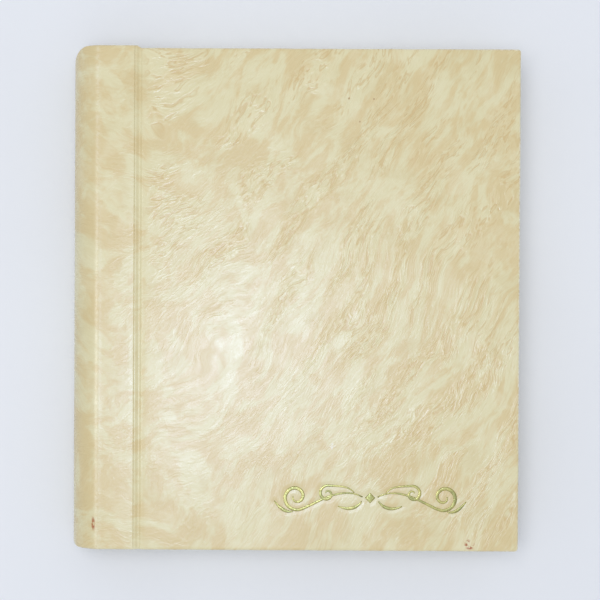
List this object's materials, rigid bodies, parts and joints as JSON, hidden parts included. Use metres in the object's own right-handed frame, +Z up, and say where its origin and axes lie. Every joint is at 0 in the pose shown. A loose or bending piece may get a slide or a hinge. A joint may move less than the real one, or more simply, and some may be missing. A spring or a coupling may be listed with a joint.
{
  "type": "post-bound photo album",
  "caption": "Closed album with a round spine, flat hinged covers in marbled cream leatherette, post-bound leaves with clear films, and covers and leaves that swing open.",
  "frame": {"origin": "centre of the bounding box on the underside of the closed album, where the rear cover rests", "axes": "+X from the spine to the fore-edge, +Y from the tail to the head, +Z up through the front cover"},
  "size_m": [0.267, 0.2996, 0.042],
  "materials": {
    "leatherette": "satin",
    "greyboard": "matte",
    "lining_paper": "matte",
    "strip_board": "matte",
    "guard_card": "matte",
    "post_metal": "satin",
    "hinge_linen": "matte",
    "foil": "satin",
    "page_card": "matte",
    "clear_film": "gloss"
  },
  "bodies": {
    "binding": {"spine_leatherette": "leatherette", "spine_board": "greyboard", "spine_lining": "lining_paper", "front_strip_board": "greyboard", "rear_strip_board": "greyboard", "front_binding_strip": "strip_board", "rear_binding_strip": "strip_board", "leaf_guards": "guard_card", "post_barrels": "post_metal", "post_screws": "post_metal"},
    "front_cover": {"front_board": "greyboard", "front_leatherette": "leatherette", "front_pastedown": "lining_paper", "front_foil_ornament": "foil", "front_hinge_cloth": "hinge_linen"},
    "rear_cover": {"rear_board": "greyboard", "rear_leatherette": "leatherette", "rear_pastedown": "lining_paper", "rear_hinge_cloth": "hinge_linen"},
    "leaf_01": {"leaf_01_card": "page_card", "leaf_01_films": "clear_film", "leaf_01_hinge": "hinge_linen"},
    "leaf_02": {"leaf_02_card": "page_card", "leaf_02_films": "clear_film", "leaf_02_hinge": "hinge_linen"},
    "leaf_03": {"leaf_03_card": "page_card", "leaf_03_films": "clear_film", "leaf_03_hinge": "hinge_linen"},
    "leaf_04": {"leaf_04_card": "page_card", "leaf_04_films": "clear_film", "leaf_04_hinge": "hinge_linen"},
    "leaf_05": {"leaf_05_card": "page_card", "leaf_05_films": "clear_film", "leaf_05_hinge": "hinge_linen"},
    "leaf_06": {"leaf_06_card": "page_card", "leaf_06_films": "clear_film", "leaf_06_hinge": "hinge_linen"},
    "leaf_07": {"leaf_07_card": "page_card", "leaf_07_films": "clear_film", "leaf_07_hinge": "hinge_linen"},
    "leaf_08": {"leaf_08_card": "page_card", "leaf_08_films": "clear_film", "leaf_08_hinge": "hinge_linen"},
    "leaf_09": {"leaf_09_card": "page_card", "leaf_09_films": "clear_film", "leaf_09_hinge": "hinge_linen"},
    "leaf_10": {"leaf_10_card": "page_card", "leaf_10_films": "clear_film", "leaf_10_hinge": "hinge_linen"},
    "leaf_11": {"leaf_11_card": "page_card", "leaf_11_films": "clear_film", "leaf_11_hinge": "hinge_linen"},
    "leaf_12": {"leaf_12_card": "page_card", "leaf_12_films": "clear_film", "leaf_12_hinge": "hinge_linen"}
  },
  "joints": [
    {"name": "front_cover_hinge", "type": "hinge", "parent": "binding", "child": "front_cover", "pos_m": [-0.09263, 0, 0.04225], "axis": [0, -1, 0], "range_deg": [0, 178], "deforming": ["front_hinge_cloth"]},
    {"name": "rear_cover_hinge", "type": "hinge", "parent": "binding", "child": "rear_cover", "pos_m": [-0.09263, 0, -0.00025], "axis": [0, 1, 0], "range_deg": [0, 178], "deforming": ["rear_hinge_cloth"]},
    {"name": "leaf_01_hinge", "type": "hinge", "parent": "binding", "child": "leaf_01", "pos_m": [-0.0927, 0, 0.0406], "axis": [0, -1, 0], "range_deg": [0, 166.5], "deforming": ["leaf_01_hinge"]},
    {"name": "leaf_02_hinge", "type": "hinge", "parent": "binding", "child": "leaf_02", "pos_m": [-0.092, 0, 0.0382], "axis": [0, -1, 0], "range_deg": [0, 149.5], "deforming": ["leaf_02_hinge"]},
    {"name": "leaf_03_hinge", "type": "hinge", "parent": "binding", "child": "leaf_03", "pos_m": [-0.0912, 0, 0.0358], "axis": [0, -1, 0], "range_deg": [0, 134], "deforming": ["leaf_03_hinge"]},
    {"name": "leaf_04_hinge", "type": "hinge", "parent": "binding", "child": "leaf_04", "pos_m": [-0.0901, 0, 0.0332], "axis": [0, -1, 0], "range_deg": [0, 119.5], "deforming": ["leaf_04_hinge"]},
    {"name": "leaf_05_hinge", "type": "hinge", "parent": "binding", "child": "leaf_05", "pos_m": [-0.0888, 0, 0.0305], "axis": [0, -1, 0], "range_deg": [0, 107.5], "deforming": ["leaf_05_hinge"]},
    {"name": "leaf_06_hinge", "type": "hinge", "parent": "binding", "child": "leaf_06", "pos_m": [-0.0874, 0, 0.0277], "axis": [0, -1, 0], "range_deg": [0, 97], "deforming": ["leaf_06_hinge"]},
    {"name": "leaf_07_hinge", "type": "hinge", "parent": "binding", "child": "leaf_07", "pos_m": [-0.0861, 0, 0.0249], "axis": [0, -1, 0], "range_deg": [0, 87], "deforming": ["leaf_07_hinge"]},
    {"name": "leaf_08_hinge", "type": "hinge", "parent": "binding", "child": "leaf_08", "pos_m": [-0.085, 0, 0.0221], "axis": [0, -1, 0], "range_deg": [0, 77], "deforming": ["leaf_08_hinge"]},
    {"name": "leaf_09_hinge", "type": "hinge", "parent": "binding", "child": "leaf_09", "pos_m": [-0.0838, 0, 0.0193], "axis": [0, -1, 0], "range_deg": [0, 67], "deforming": ["leaf_09_hinge"]},
    {"name": "leaf_10_hinge", "type": "hinge", "parent": "binding", "child": "leaf_10", "pos_m": [-0.0827, 0, 0.0165], "axis": [0, -1, 0], "range_deg": [0, 57], "deforming": ["leaf_10_hinge"]},
    {"name": "leaf_11_hinge", "type": "hinge", "parent": "binding", "child": "leaf_11", "pos_m": [-0.0817, 0, 0.0136], "axis": [0, -1, 0], "range_deg": [0, 47], "deforming": ["leaf_11_hinge"]},
    {"name": "leaf_12_hinge", "type": "hinge", "parent": "binding", "child": "leaf_12", "pos_m": [-0.0806, 0, 0.0108], "axis": [0, -1, 0], "range_deg": [0, 37.5], "deforming": ["leaf_12_hinge"]}
  ],
  "couplings": [
    {"joint": "leaf_01_hinge", "follows": "front_cover_hinge", "ratio": 0.93258},
    {"joint": "leaf_02_hinge", "follows": "front_cover_hinge", "ratio": 0.83708},
    {"joint": "leaf_03_hinge", "follows": "front_cover_hinge", "ratio": 0.75},
    {"joint": "leaf_04_hinge", "follows": "front_cover_hinge", "ratio": 0.66854},
    {"joint": "leaf_05_hinge", "follows": "front_cover_hinge", "ratio": 0.60112},
    {"joint": "leaf_06_hinge", "follows": "front_cover_hinge", "ratio": 0.54213},
    {"joint": "leaf_07_hinge", "follows": "front_cover_hinge", "ratio": 0.48596},
    {"joint": "leaf_08_hinge", "follows": "front_cover_hinge", "ratio": 0.42978},
    {"joint": "leaf_09_hinge", "follows": "front_cover_hinge", "ratio": 0.3736},
    {"joint": "leaf_10_hinge", "follows": "front_cover_hinge", "ratio": 0.31742},
    {"joint": "leaf_11_hinge", "follows": "front_cover_hinge", "ratio": 0.26124},
    {"joint": "leaf_12_hinge", "follows": "front_cover_hinge", "ratio": 0.20787}
  ]
}
